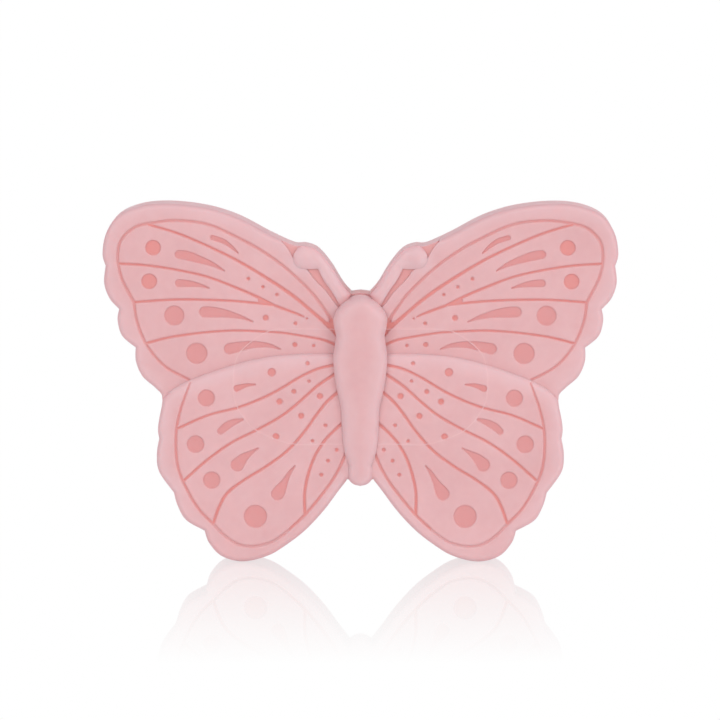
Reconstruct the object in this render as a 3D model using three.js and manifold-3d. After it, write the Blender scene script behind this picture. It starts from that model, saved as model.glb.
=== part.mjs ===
// A butterfly teether in soft pink silicone. It stands upright on the round lobes of its hind wings,
// with its relief facing -Y and its flat back facing +Y. Millimetres, +Z up, origin at the bottom centre
// of its box. A full-outline back plate carries two fore wings, two hind wings, the body and two antennae.
import * as THREE from "three";
import { mergeVertices } from "three/addons/utils/BufferGeometryUtils.js";
import Module from "manifold-3d";

const wasm = await Module();
wasm.setup();

// Heights of each layer above the flat back face.
const height = { plate: 6, web: 9.7, foreWing: 10.5, hindWing: 12, stalk: 11.2, club: 12.4, body: 14 };
// Rounded front edges: how far each one runs in from the wall, and how far down the wall.
const shoulder = {
  plate: { inset: 0.5, drop: 0.5, steps: 1 },
  wing: { inset: 1.1, drop: 2, steps: 2 },
  body: { inset: 1.2, drop: 2.6, steps: 3 },
  stalk: { inset: 0.6, drop: 1.3, steps: 2 },
};
const gap = 0.3; // clearance between neighbours that stand side by side
const engraving = { depth: 0.8, step: 2.4 }; // veins, spots and drops, and the length of a vein's facets
const edgeStep = 1.5; // length of an outline's facets
const club = { x: 8.8, z: 49.1, radius: 2.05, wall: 10.6, sides: 18, rings: 3 }; // domed above `wall`
const spare = 1; // how far a cutter passes the faces that it cuts
const stretch = 1.007; // the curves below are opened out upwards by this, to the standing height of 59 mm
const weld = 1e-4; // vertices closer than this are one
const reach = 200; // a cutting block that is larger than the whole part
const webSpan = { halfWidth: 14, bottom: 41.5, top: 56 }; // where the plate thickens to carry the antennae

// Right half of the outer edge, from the top centre round to the bottom centre. Each run is one smooth
// curve, and the runs meet at the notches between the scallops.
const outerEdge = [
  [[0, 43.9], [0.8, 43.8], [1.5, 43.7]],
  [[1.5, 43.7], [2.9, 45.3], [4.9, 48.5], [7, 50.9], [9, 51.7], [11, 51.8], [15, 53.6], [20, 56.2],
    [25, 57.8], [31, 58.55], [36, 58.2], [39.8, 56.6], [41.8, 53.7], [42.4, 50.4], [41.9, 48.4]],
  [[41.9, 48.4], [42.15, 45.6], [41.3, 43.1], [39.7, 41.3]],
  [[39.7, 41.3], [39.95, 39.4], [39.2, 36.9], [37, 35]],
  [[37, 35], [36.95, 32.7], [35.9, 30.3], [33.9, 28.5], [32.7, 27.2], [32.65, 25.7], [33.1, 23.4],
    [33.3, 21.6], [33.1, 20.2]],
  [[33.1, 20.2], [33.5, 17.6], [33.1, 14.7], [30.7, 11.3]],
  [[30.7, 11.3], [30.1, 9.2], [28.7, 6.8], [25.65, 5.05]],
  [[25.65, 5.05], [24.9, 3], [22.8, 0.85], [19.3, 0], [15.2, 0.95], [12, 2.85], [9, 5.2], [6, 8.4],
    [3.6, 11.6], [1.8, 13.9]],
  [[1.8, 13.9], [0.9, 13.6], [0, 13.5]],
];

// Right half of the body, from the crown of the head to the tip of the tail.
const bodyEdge = [
  [[0, 43.5], [1.3, 43.3], [2.7, 42.5], [3.85, 41.3], [4.4, 39.9], [4.3, 38.5], [4, 37.1], [4.15, 35.8],
    [4.4, 34.2], [4.4, 32.4], [4.2, 30.4], [3.85, 28.3], [3.35, 26.2], [3.12, 24.6], [3.1, 22.8],
    [2.95, 20.4], [2.65, 18.2], [2.2, 16.8], [1.85, 15.9]],
  [[1.85, 15.9], [2, 14.6], [1.8, 13.5], [1.1, 12.75], [0, 12.5]],
];

// The inner ends of the right wings, which run on under their neighbours and are trimmed by them.
const foreWingRoot = [
  [[32.7, 27.2], [28, 26], [18, 29], [6, 29.5], [1.5, 31]],
  [[1.5, 31], [1.5, 41]],
  [[1.5, 41], [4.1, 41.9], [6.2, 45], [8.8, 47.6], [10.6, 49.6], [11.2, 50.9], [13, 52.6]],
];
const hindWingTop = [[1, 34], [6, 34.1], [10, 34.05], [15, 33.6], [20, 32.5], [25, 30.9], [29, 29.3],
  [31.4, 27.8], [32.6, 26]];
const hindWingRoot = [[2.2, 13.5], [1, 15.5], [1, 34]];
const wingEnds = { foreInner: 13, foreLow: 27.2, hindInner: 2.2, hindHigh: 25.9 };

// An antenna's stalk leaves the head's shoulder and ends in the club: x, z, radius along its spine.
const stalkSpine = [[2.4, 41.2, 0.95], [4.2, 45.1, 1], [6.1, 47.8, 1.05], [8.3, 49, 1.1]];

// Engraved strokes of the right wings, each a spine of x, z, radius: a vein, a drop, or a spot of one point.
const foreWingStrokes = [
  [[4.8, 39.1, 0.3], [5.4, 40.8, 0.21], [8, 44.2, 0.2], [12, 47.9, 0.2], [16, 50.8, 0.2], [20, 53, 0.2],
    [25, 55.2, 0.2], [30, 55.85, 0.2], [34, 55.5, 0.2], [37.1, 54.7, 0.2], [39.3, 52.6, 0.2],
    [39.85, 49.8, 0.2], [39.2, 46.4, 0.2], [37.2, 42.5, 0.22]],
  [[37.2, 42.5, 0.22], [36.85, 39.9, 0.19], [36, 37.3, 0.2], [34.6, 34.7, 0.19], [32, 31.9, 0.17],
    [28.2, 29.9, 0.19]],
  [[4.1, 37.4, 0.17], [5.2, 38.6, 0.3], [7.5, 40.6, 0.24], [11, 43.5, 0.26], [15, 46.2, 0.24],
    [20, 49.2, 0.19], [25, 51.65, 0.17], [30, 53.75, 0.17], [34.8, 55.2, 0.18]],
  [[9.3, 40.1, 0.13], [12, 41.2, 0.17], [14.5, 42.15, 0.2], [17, 43.4, 0.2], [20, 44.7, 0.18],
    [25, 46.6, 0.16], [30, 47.75, 0.16], [35, 48.5, 0.16], [39.6, 48.8, 0.18]],
  [[14, 42, 0.15], [17, 42.35, 0.17], [21, 42.7, 0.16], [26, 42.9, 0.16], [31, 42.9, 0.16],
    [37.1, 42.5, 0.18]],
  [[15, 42.35, 0.25], [16.3, 42.75, 0.42]],
  [[4.3, 35.7, 0.24], [6, 36.3, 0.17], [9, 36.9, 0.15], [13, 37.5, 0.14], [17, 37.75, 0.15],
    [21, 37.85, 0.15], [26, 37.5, 0.15], [31, 36.8, 0.16], [35.1, 35.8, 0.2]],
  [[24.3, 53.05, 0.38], [22.6, 52.5, 0.38], [21.3, 51.65, 0.28], [20.1, 50.55, 0.1]],
  [[22.4, 47.65, 0.1], [24.2, 48.65, 0.35], [26.5, 49.5, 0.6], [28.5, 50.1, 0.75], [29.8, 50.3, 0.68]],
  [[24.9, 44.8, 0.1], [26.2, 45.2, 0.27], [28, 45.5, 0.52], [29.8, 45.6, 0.62]],
  [[17.7, 39.3, 0.1], [19.5, 40, 0.3], [22, 40.6, 0.62], [24.2, 40.85, 0.86], [25.6, 40.9, 0.88]],
  [[13.2, 34.8, 0.1], [15, 35.4, 0.33], [17.5, 35.55, 0.55], [20, 35.2, 0.8], [21.5, 34.85, 0.92]],
  [[34.05, 51.4, 1.25]],
  [[34.7, 45.9, 1.25]],
  [[30.6, 40.3, 1.62]],
  [[26.9, 34.1, 1.72]],
  [[15.55, 39.95, 0.45]],
  [[10.75, 35.55, 0.38]],
  [[18.4, 46.35, 0.27]],
  [[16, 45, 0.25]],
  [[13.7, 43.75, 0.25]],
  [[10.65, 39.05, 0.25]],
  [[7.65, 35.4, 0.22]],
];
const hindWingStrokes = [
  [[4.3, 32.3, 0.22], [7, 31.7, 0.18], [10, 30.3, 0.18], [13, 28.5, 0.18], [16, 26.95, 0.18],
    [20, 25.4, 0.17], [25, 24.1, 0.16], [30.1, 21.9, 0.18]],
  [[4.2, 30.8, 0.22], [7, 28.95, 0.2], [10, 26.3, 0.19], [13, 23.95, 0.18], [17, 21.7, 0.17],
    [21, 19.7, 0.17], [25, 16.9, 0.18], [28.9, 13.5, 0.2]],
  [[3.7, 27.8, 0.24], [5.5, 26.3, 0.22], [7.3, 24.05, 0.2], [9.2, 21.4, 0.19], [12, 18.3, 0.19],
    [15.5, 15.7, 0.18], [19, 13.55, 0.18], [21.8, 11.4, 0.22], [23.2, 9.1, 0.22], [24.2, 6.3, 0.2]],
  [[2.9, 22.8, 0.24], [4.6, 21.3, 0.2], [6.2, 19.5, 0.2], [7.6, 17.1, 0.2], [8.6, 14.25, 0.2],
    [9.15, 11.3, 0.2], [9.1, 7.9, 0.25]],
  [[2.4, 17.8, 0.22], [3.8, 14.75, 0.2], [6, 11.5, 0.2], [9, 7.9, 0.2], [12, 5.1, 0.18], [15, 3.15, 0.17],
    [17.5, 2.6, 0.17], [20, 2.9, 0.19], [22.3, 4.35, 0.2], [24.2, 6.25, 0.22]],
  [[24.2, 6.25, 0.22], [26.5, 8.6, 0.19], [28.4, 11.7, 0.2], [29.8, 14.9, 0.2], [30.3, 18.2, 0.2],
    [30.2, 21.9, 0.2], [29.5, 25.1, 0.17], [28.6, 27.4, 0.14], [27.9, 28.7, 0.1]],
  [[17.3, 29.15, 0.1], [18.8, 29, 0.3], [20.3, 28.5, 0.52]],
  [[19.4, 23.4, 0.22], [20.8, 22.95, 0.5], [22.1, 22.25, 0.62], [22.95, 21.5, 0.55]],
  [[16.8, 18.7, 0.1], [18, 17.95, 0.35], [19.2, 17.1, 0.75], [20.2, 16, 1.1]],
  [[10.75, 15.8, 0.1], [11.6, 14.7, 0.3], [12.4, 13.25, 0.52], [13.2, 11.85, 0.95], [13.6, 11.2, 1.05]],
  [[25.3, 26.9, 1.38]],
  [[27.1, 19.35, 1.42]],
  [[24.45, 13.45, 1.4]],
  [[17.25, 7.5, 1.88]],
  [[14.55, 31.15, 0.65]],
  [[6.6, 27.25, 0.48]],
  [[9.7, 24, 0.47]],
  [[13.85, 20.6, 0.5]],
  [[13.25, 26.35, 0.48]],
  [[10.9, 28, 0.37]],
  [[8.65, 32.6, 0.3]],
  [[8.4, 29.7, 0.25]],
  [[5.7, 22.45, 0.27]],
  [[7.85, 19.9, 0.25]],
  [[3.85, 18.45, 0.27]],
  [[5.3, 16.65, 0.27]],
  [[6.4, 14.35, 0.27]],
];

const silicone = new THREE.MeshStandardMaterial({ color: 0xe6b5b7, roughness: 0.5, metalness: 0 });

// ---- Outlines ----

// One smooth curve through the points, cut into facets about `step` long.
function smoothRun(points, step = edgeStep) {
  const curve = new THREE.SplineCurve(points.map(([x, z]) => new THREE.Vector2(x, z)));
  return curve.getSpacedPoints(Math.max(2, Math.round(curve.getLength() / step)));
}

// Several runs end to end, without the point that each one shares with the next.
function joinRuns(runs) {
  return runs.flatMap((run) => smoothRun(run).slice(0, -1));
}

function mirrored(points) {
  return points.map((p) => new THREE.Vector2(-p.x, p.y)).reverse();
}

// A half outline on the right of the centre line, closed by its own mirror image.
function wholeOutline(runs) {
  const right = [...joinRuns(runs), new THREE.Vector2(...runs.at(-1).at(-1))];
  return [...right, ...mirrored(right).slice(1, -1)];
}

// The outline of a tapered stroke: both sides of its spine and a round cap on each end.
function strokeOutline(spine, step) {
  const capSteps = 3;
  if (spine.length === 1) {
    const [x, z, radius] = spine[0];
    const sides = Math.round(THREE.MathUtils.clamp(radius * 12, 7, 18));
    return new THREE.Path().absarc(x, z, radius, 0, 2 * Math.PI).getPoints(sides).slice(0, -1);
  }
  const line = new THREE.CatmullRomCurve3(spine.map((p) => new THREE.Vector3(...p)), false, "centripetal");
  const count = Math.max(3, Math.round(line.getLength() / step));
  const left = [];
  const right = [];
  for (let i = 0; i <= count; i++) {
    const p = line.getPointAt(i / count);
    const along = line.getTangentAt(i / count);
    const side = new THREE.Vector2(-along.y, along.x).normalize();
    left.push(new THREE.Vector2(p.x, p.y).addScaledVector(side, p.z));
    right.push(new THREE.Vector2(p.x, p.y).addScaledVector(side, -p.z));
  }
  const cap = (from, to) => {
    const centre = from.clone().add(to).multiplyScalar(0.5);
    return Array.from({ length: capSteps - 1 }, (_, i) =>
      from.clone().rotateAround(centre, (-Math.PI * (i + 1)) / capSteps));
  };
  return [...left, ...cap(left.at(-1), right.at(-1)), ...right.reverse(), ...cap(right.at(-1), left[0])];
}

// ---- Solids ----

// Turns a shape drawn in x, up and height-above-the-back into the part's own frame.
const standUp = new THREE.Matrix4()
  .set(1, 0, 0, 0, 0, 0, -1, height.body / 2, 0, stretch, 0, 0, 0, 0, 0, 1);

function toSolid(geometry) {
  const bare = geometry.index ? geometry.toNonIndexed() : geometry.clone();
  bare.deleteAttribute("normal");
  bare.deleteAttribute("uv");
  const merged = mergeVertices(bare, weld);
  return new wasm.Manifold(new wasm.Mesh({
    numProp: 3,
    vertProperties: merged.attributes.position.array,
    triVerts: new Uint32Array(merged.index.array),
  }));
}

function toMesh(name, solid) {
  const { vertProperties, triVerts } = solid.getMesh();
  const geometry = new THREE.BufferGeometry();
  geometry.setAttribute("position", new THREE.BufferAttribute(vertProperties, 3));
  geometry.setIndex(new THREE.BufferAttribute(triVerts, 1));
  geometry.applyMatrix4(standUp);
  geometry.computeVertexNormals();
  const mesh = new THREE.Mesh(geometry, silicone);
  mesh.name = name;
  return mesh;
}

// A straight-walled prism over an outline, from one height to another.
function prism(outline, from, to) {
  const geometry = new THREE.ExtrudeGeometry(new THREE.Shape(outline), {
    depth: to - from, bevelEnabled: false,
  });
  return toSolid(geometry.translate(0, 0, from));
}

// A prism with a rounded front edge: it is extruded with that edge on both faces, and its back is cut off.
function reliefBlock(outline, from, to, round) {
  const geometry = new THREE.ExtrudeGeometry(new THREE.Shape(outline), {
    depth: to - from,
    bevelSize: round.inset,
    bevelOffset: -round.inset,
    bevelThickness: round.drop,
    bevelSegments: round.steps,
  });
  const whole = toSolid(geometry.translate(0, 0, from - round.drop));
  const below = toSolid(new THREE.BoxGeometry(reach, reach, reach).translate(0, 0, from - reach / 2));
  return whole.subtract(below);
}

// The outline moved out by `by`, for the clearance around a neighbour.
function grown(outline, by) {
  const turn = Math.sign(THREE.ShapeUtils.area(outline));
  return outline.map((p, i) => {
    const before = outline.at(i - 1);
    const after = outline[(i + 1) % outline.length];
    const along = after.clone().sub(before).normalize();
    return new THREE.Vector2(p.x + turn * along.y * by, p.y - turn * along.x * by);
  });
}

function engrave(solid, strokes, face) {
  const cutters = strokes.map((spine) =>
    prism(strokeOutline(spine, engraving.step), face - engraving.depth, face + spare));
  return solid.subtract(wasm.Manifold.union(cutters));
}

// ---- Pieces ----

const through = [height.plate - spare, height.body + spare]; // trims any piece that stands on the plate
const silhouette = wholeOutline(outerEdge);
const bodyOutline = wholeOutline(bodyEdge);
const bodyClearance = prism(grown(bodyOutline, gap), ...through);

// Each wing takes its own stretch of the outer edge, and its root closes the loop.
const foreRun = joinRuns(outerEdge.slice(1, 5))
  .filter((p) => p.x > wingEnds.foreInner && p.y > wingEnds.foreLow);
const foreOutline = [...foreRun, ...joinRuns(foreWingRoot)];
const hindRun = joinRuns(outerEdge.slice(4, 8))
  .filter((p) => p.x > wingEnds.hindInner && p.y < wingEnds.hindHigh);
const hindOutline = [...hindRun, ...joinRuns([hindWingRoot]), ...smoothRun(hindWingTop)];

// The plate is thicker round the antennae: the floor of the recess beside each stalk is this web.
function makeWeb() {
  const { halfWidth, bottom, top } = webSpan;
  const window = [[-halfWidth, bottom], [halfWidth, bottom], [halfWidth, top], [-halfWidth, top]]
    .map((p) => new THREE.Vector2(...p));
  const wingClearance = prism(grown(foreOutline, gap), ...through);
  return prism(silhouette, height.plate - spare, height.web)
    .intersect(prism(window, ...through))
    .subtract(wingClearance)
    .subtract(wingClearance.mirror([1, 0, 0]))
    .subtract(bodyClearance);
}

function makeBackPlate() {
  const turned = reliefBlock(silhouette, 0, height.plate, shoulder.plate);
  // The rounded edge belongs on the back face, and the front is where the wings sit.
  const plate = turned.scale([1, 1, -1]).translate([0, 0, height.plate]);
  return plate.add(makeWeb());
}

function makeBody() {
  return reliefBlock(bodyOutline, height.plate, height.body, shoulder.body);
}

function makeHindWing() {
  const blank = reliefBlock(hindOutline, height.plate, height.hindWing, shoulder.wing);
  return engrave(blank.subtract(bodyClearance), hindWingStrokes, height.hindWing);
}

function makeAntenna() {
  const stalkOutline = strokeOutline(stalkSpine, edgeStep);
  const stalk = reliefBlock(stalkOutline, height.web, height.stalk, shoulder.stalk);
  const profile = [new THREE.Vector2(0, height.web), new THREE.Vector2(club.radius, height.web)];
  for (let i = 0; i <= club.rings; i++) {
    const angle = (i * Math.PI) / 2 / club.rings;
    const up = club.wall + (height.club - club.wall) * Math.sin(angle);
    profile.push(new THREE.Vector2(club.radius * Math.cos(angle), up));
  }
  profile.at(-1).x = 0; // the dome closes on its axis
  const dome = new THREE.LatheGeometry(profile, club.sides).rotateX(Math.PI / 2);
  return toSolid(dome.translate(club.x, club.z, 0)).add(stalk).subtract(bodyClearance);
}

function makeForeWing() {
  const blank = reliefBlock(foreOutline, height.plate, height.foreWing, shoulder.wing);
  const antennaClearance = wasm.Manifold.union([
    prism(grown(strokeOutline(stalkSpine, edgeStep), gap), ...through),
    prism(strokeOutline([[club.x, club.z, club.radius + gap]], edgeStep), ...through),
  ]);
  const trimmed = blank
    .subtract(prism(grown(hindOutline, gap), ...through))
    .subtract(bodyClearance)
    .subtract(antennaClearance);
  return engrave(trimmed, foreWingStrokes, height.foreWing);
}

function addPair(group, name, solid) {
  group.add(toMesh(`${name}_right`, solid));
  group.add(toMesh(`${name}_left`, solid.mirror([1, 0, 0])));
}

const butterfly = new THREE.Group();
butterfly.add(toMesh("back_plate", makeBackPlate()));
butterfly.add(toMesh("body", makeBody()));
addPair(butterfly, "fore_wing", makeForeWing());
addPair(butterfly, "hind_wing", makeHindWing());
addPair(butterfly, "antenna", makeAntenna());

export default butterfly;
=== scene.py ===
import math

import bpy
import numpy as np
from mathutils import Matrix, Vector, noise
from mathutils.geometry import delaunay_2d_cdt
from mathutils.kdtree import KDTree


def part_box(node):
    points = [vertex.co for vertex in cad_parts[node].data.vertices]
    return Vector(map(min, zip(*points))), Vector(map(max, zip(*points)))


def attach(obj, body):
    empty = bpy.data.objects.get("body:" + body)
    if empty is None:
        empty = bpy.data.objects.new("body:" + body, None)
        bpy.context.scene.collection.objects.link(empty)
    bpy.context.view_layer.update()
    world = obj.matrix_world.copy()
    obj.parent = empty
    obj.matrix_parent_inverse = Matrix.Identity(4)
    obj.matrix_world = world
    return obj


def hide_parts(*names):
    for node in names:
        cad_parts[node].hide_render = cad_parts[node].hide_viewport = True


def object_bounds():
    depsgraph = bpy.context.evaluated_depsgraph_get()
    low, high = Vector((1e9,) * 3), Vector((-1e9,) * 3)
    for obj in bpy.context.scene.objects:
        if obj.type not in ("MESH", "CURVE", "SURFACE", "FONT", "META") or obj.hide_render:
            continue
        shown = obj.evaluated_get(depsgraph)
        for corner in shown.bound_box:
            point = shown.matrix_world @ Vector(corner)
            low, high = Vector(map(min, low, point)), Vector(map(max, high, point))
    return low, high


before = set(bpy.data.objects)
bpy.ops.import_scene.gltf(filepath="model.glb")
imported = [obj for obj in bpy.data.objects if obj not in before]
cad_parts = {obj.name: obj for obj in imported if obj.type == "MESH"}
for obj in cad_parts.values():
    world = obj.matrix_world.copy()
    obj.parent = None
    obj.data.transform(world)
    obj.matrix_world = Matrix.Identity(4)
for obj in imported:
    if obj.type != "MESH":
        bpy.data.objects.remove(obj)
cadLow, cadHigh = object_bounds()
print("frame loaded:", ", ".join(sorted(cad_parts)))

mm = 0.001
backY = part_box("back_plate")[1].y  # the flat back, which heights are counted from


def heightOf(node, corner=0):
    return (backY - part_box(node)[corner].y) / mm


drawnHeight = 58.566  # the plan curves below are drawn this tall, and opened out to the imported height
upright = (cadHigh.z - cadLow.z) / drawnHeight


def place(x, height, z):
    return (x * mm, backY - height * mm, z * upright)


layers = {  # heights above the flat back, in millimetres
    "plate": heightOf("fore_wing_right", 1),
    "web": heightOf("back_plate"),
    "foreWing": heightOf("fore_wing_right"),
    "hindWing": heightOf("hind_wing_right"),
    "body": heightOf("body"),
}
mesh = {  # how fine the surfaces are: steps and gaps in millimetres, and counts
    "curveSteps": 40,  # samples between two points of a smooth curve, before it is spaced evenly
    "edgeStep": 0.16,
    "strokeStep": 0.17,
    "cutterStep": 0.1,
    "crestStep": 0.05,
    "grid": 0.42,
    "clear": 0.2,  # the grid keeps this far from the rows beside edges and strokes
    "weld": 0.05,
    "fillet": 8,  # rows over a rounded edge
    "keptShare": 0.93,  # a row's point is dropped where it lies less deep than this share of its reach
    "margin": 0.008,  # nothing is placed nearer than this to the edge
    "wallRows": 4,
    "edgeBlend": 15,  # edge points over which one rounding passes into the next
}

# The camera stands in front of the relief, a little above its middle, and looks slightly down at it.
view = {"distance": 1.0, "elevation": 4.8, "turn": 0.4, "lens": 304.5, "aim": (-0.00004, -0.005, 0.0334)}


def makeCamera():
    lean, turn = math.radians(view["elevation"]), math.radians(view["turn"])
    away = Vector((math.cos(lean) * math.sin(turn), -math.cos(lean) * math.cos(turn), math.sin(lean)))
    data = bpy.data.cameras.new("camera")
    data.lens = view["lens"]
    camera = bpy.data.objects.new("camera", data)
    bpy.context.scene.collection.objects.link(camera)
    camera.location = Vector(view["aim"]) + away * view["distance"]
    camera.rotation_euler = (-away).to_track_quat("-Z", "Y").to_euler()
    bpy.context.scene.camera = camera


makeCamera()
print("camera placed")


# Sockets that take part in plain arithmetic, for shaders and geometry alike.
class Wire:
    def __init__(self, graph, socket):
        self.graph, self.socket = graph, socket

    def calc(self, operation, first, second):
        return self.graph.wire("ShaderNodeMath", 0, {"operation": operation}, {0: first, 1: second})

    def __add__(self, other):
        return self.calc("ADD", self, other)

    def __radd__(self, other):
        return self.calc("ADD", other, self)

    def __sub__(self, other):
        return self.calc("SUBTRACT", self, other)

    def __rsub__(self, other):
        return self.calc("SUBTRACT", other, self)

    def __mul__(self, other):
        return self.calc("MULTIPLY", self, other)

    def __rmul__(self, other):
        return self.calc("MULTIPLY", other, self)

    def larger(self, other):
        return self.calc("MAXIMUM", self, other)


class Graph:
    def __init__(self, tree):
        self.tree = tree

    def node(self, kind, settings=None, sockets=None):
        made = self.tree.nodes.new(kind)
        for key, value in (settings or {}).items():
            setattr(made, key, value)
        for key, value in (sockets or {}).items():
            self.feed(made.inputs[key], value)
        return made

    def feed(self, socket, value):
        if isinstance(value, Wire):
            self.tree.links.new(value.socket, socket)
        else:
            socket.default_value = value

    def wire(self, kind, output=0, settings=None, sockets=None):
        return Wire(self, self.node(kind, settings, sockets).outputs[output])

    def mixColour(self, amount, first, second):
        return self.wire("ShaderNodeMix", 2, {"data_type": "RGBA"}, {0: amount, 6: first, 7: second})


silicone = {
    "pink": (0.59, 0.33, 0.34, 1),
    "pale": (0.665, 0.41, 0.425, 1),  # where the cloudy pigment is thin
    "paintedRecessShade": (0.615, 0.275, 0.275, 1),  # painted shade on the floors of drops and spots, and in the creases
    "paintedGrooveGlow": (0.66, 0.25, 0.235, 1),  # painted glow and deeper colour of light bouncing inside the narrow veins and other recesses
    "paintedSheen": (0.66, 0.47, 0.50, 1),  # painted sheen: a pale highlight along rounded edges
    # painted shade on the side walls, darker and cooler than the faces
    "wall": (0.62, 0.345, 0.375, 1),
    # painted highlight along the raised mould line
    "witness": (0.80, 0.56, 0.57, 1),
    "cloudScale": 85.0,
    "fineScale": 765.0,
    "cloudShare": 0.75,  # the rest of the mottling is fine
    "cloudiness": 1.6,
    "grainScale": 2600.0,
    "grainHeight": 0.5,
    "bump": (0.25, 0.00004),  # strength and depth
    "roughness": 0.5,
    "roughnessSpread": 0.12,
    "ior": 1.41,
    "sheen": (0.05, 0.4),  # weight and roughness
    "specular": 0.3,
    "subsurface": 0.35,
    "subsurfaceScale": 0.0008,
    "subsurfaceRadius": (1.0, 0.42, 0.36),
}
# Which tone each mark lays over the mottled pink, in this order: all are painted light and shade, sheen on
# edges, shade on walls, in recesses and creases, glow in grooves, highlight on the raised line.
toneOf = {"edge": "paintedSheen", "wall": "wall", "drop": "paintedRecessShade", "vein": "paintedGrooveGlow", "trace": "witness"}


def makeSilicone():
    material = bpy.data.materials.new("pinkSilicone")
    material.use_nodes = True
    material.node_tree.nodes.clear()
    graph = Graph(material.node_tree)
    where = graph.wire("ShaderNodeTexCoord", 3)
    cloud = graph.wire("ShaderNodeTexNoise", 0, None,
                       {"Vector": where, "Scale": silicone["cloudScale"], "Detail": 4.0, "Roughness": 0.6})
    fine = graph.wire("ShaderNodeTexNoise", 0, None,
                      {"Vector": where, "Scale": silicone["fineScale"], "Detail": 3.0})
    grain = graph.wire("ShaderNodeTexNoise", 0, None,
                       {"Vector": where, "Scale": silicone["grainScale"], "Detail": 2.0})
    mottling = cloud * silicone["cloudShare"] + fine * (1 - silicone["cloudShare"])
    thinness = (mottling - 0.5) * silicone["cloudiness"] + 0.5
    surface = graph.mixColour(thinness, silicone["pink"], silicone["pale"])
    for name, tone in toneOf.items():
        mark = graph.wire("ShaderNodeAttribute", 2, {"attribute_name": name})
        surface = graph.mixColour(mark, surface, silicone[tone])
    roughness = (fine - 0.5) * silicone["roughnessSpread"] + silicone["roughness"]
    strength, depth = silicone["bump"]
    height = grain * silicone["grainHeight"] + fine
    bump = graph.wire("ShaderNodeBump", 0, None, {"Height": height, "Strength": strength, "Distance": depth})
    sheen, sheenRoughness = silicone["sheen"]
    shader = graph.wire("ShaderNodeBsdfPrincipled", 0, None, {
        "Base Color": surface, "Roughness": roughness, "Normal": bump,
        "Subsurface Weight": silicone["subsurface"], "Subsurface Scale": silicone["subsurfaceScale"],
        "Subsurface Radius": silicone["subsurfaceRadius"], "IOR": silicone["ior"],
        "Specular IOR Level": silicone["specular"],
        "Sheen Weight": sheen, "Sheen Roughness": sheenRoughness,
    })
    graph.node("ShaderNodeOutputMaterial", None, {"Surface": shader})
    return material


siliconeMaterial = makeSilicone()


# Plan curves. Points are x and z in millimetres, and a third number is a stroke's radius.
def smoothRun(points, step):
    knots = np.array(points, float)
    padded = np.vstack([knots[:1], knots, knots[-1:]])
    t = np.linspace(0, 1, mesh["curveSteps"], endpoint=False)[:, None]
    parts = []
    for a, b, c, d in zip(padded, padded[1:], padded[2:], padded[3:]):
        bend = (2 * a - 5 * b + 4 * c - d) * t**2 + (3 * b - a - 3 * c + d) * t**3
        parts.append(b + (c - a) * t / 2 + bend / 2)
    dense = np.vstack(parts + [knots[-1:]])
    travel = np.linalg.norm(np.diff(dense[:, :2], axis=0), axis=1)
    along = np.concatenate([[0], np.cumsum(travel)])
    at = np.linspace(0, along[-1], max(2, round(along[-1] / step)) + 1)
    return np.column_stack([np.interp(at, along, dense[:, k]) for k in range(knots.shape[1])])


# Each run is a smooth curve, its edge's inset and its edge's drop. The runs join end to end.
def joinRuns(runs):
    parts = []
    for points, inset, drop in runs:
        line = smoothRun(points, mesh["edgeStep"])[:-1]
        parts.append(np.column_stack([line, np.full(len(line), inset), np.full(len(line), drop)]))
    return np.vstack(parts)


def softened(values, width):
    kernel = np.hanning(width + 2)[1:-1]
    wrapped = np.concatenate([values[-width:], values, values[:width]])
    return np.convolve(wrapped, kernel / kernel.sum(), "same")[width:-width]


def counterClockwise(loop):
    x, z = loop[:, 0], loop[:, 1]
    area = np.sum(x * np.roll(z, -1) - np.roll(x, -1) * z)
    return loop if area > 0 else loop[::-1]


def sideways(line, closed=True):
    if closed:
        along = np.roll(line, -1, axis=0) - np.roll(line, 1, axis=0)
    else:
        along = np.gradient(line, axis=0)
    along = along / np.linalg.norm(along, axis=1, keepdims=True)
    return np.column_stack([-along[:, 1], along[:, 0]])  # to the left, which is inwards on an outline


def treeOf(points):
    tree = KDTree(len(points))
    for i, p in enumerate(points):
        tree.insert((p[0], p[1], 0), i)
    tree.balance()
    return tree


# How far inside a loop each point lies, and which of the loop's points is nearest.
def depthInside(loop, points):
    tree = treeOf(loop)
    near = np.array([tree.find((x, z, 0))[1] for x, z in points], int)
    best, sign = np.full(len(points), np.inf), np.ones(len(points))
    for shift in (-1, 0):
        a, b = loop[(near + shift) % len(loop)], loop[(near + shift + 1) % len(loop)]
        ab, ap = b - a, points - a
        t = np.clip(np.sum(ap * ab, axis=1) / np.maximum(np.sum(ab * ab, axis=1), 1e-12), 0, 1)
        gap = np.linalg.norm(ap - ab * t[:, None], axis=1)
        closer = gap < best
        best = np.where(closer, gap, best)
        sign = np.where(closer, np.sign(ab[:, 0] * ap[:, 1] - ab[:, 1] * ap[:, 0]), sign)
    return best * sign, near


def thinned(points, cell):
    keys = np.round(points / cell).astype(int)
    return points[np.sort(np.unique(keys, axis=0, return_index=True)[1])]


lipRows = (-1.8, -1, -0.5, 0, 0.5, 1, 1.8)  # where rows run along a stroke's lip, in widths of the lip


# Rows of points beside an engraved stroke, so that its lips and floor have edges of their own.
def strokeRows(strokes, lip):
    step = mesh["strokeStep"]
    rows = []
    for stroke in strokes:
        if len(stroke) > 1:
            line = smoothRun(stroke, step)
            side = sideways(line[:, :2], closed=False)
            for k in lipRows:
                reach = np.maximum(line[:, 2:] + k * lip, 0)
                rows += [line[:, :2] + side * reach, line[:, :2] - side * reach]
            rows.append(line[:, :2])
        for x, z, radius in (stroke[0], stroke[-1]):
            for k in lipRows:
                reach = max(radius + k * lip, 0)
                turn = np.linspace(0, 2 * np.pi, max(6, round(2 * np.pi * reach / step)), endpoint=False)
                rows.append(np.column_stack([x + reach * np.cos(turn), z + reach * np.sin(turn)]))
    return thinned(np.vstack(rows), mesh["weld"])


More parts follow.
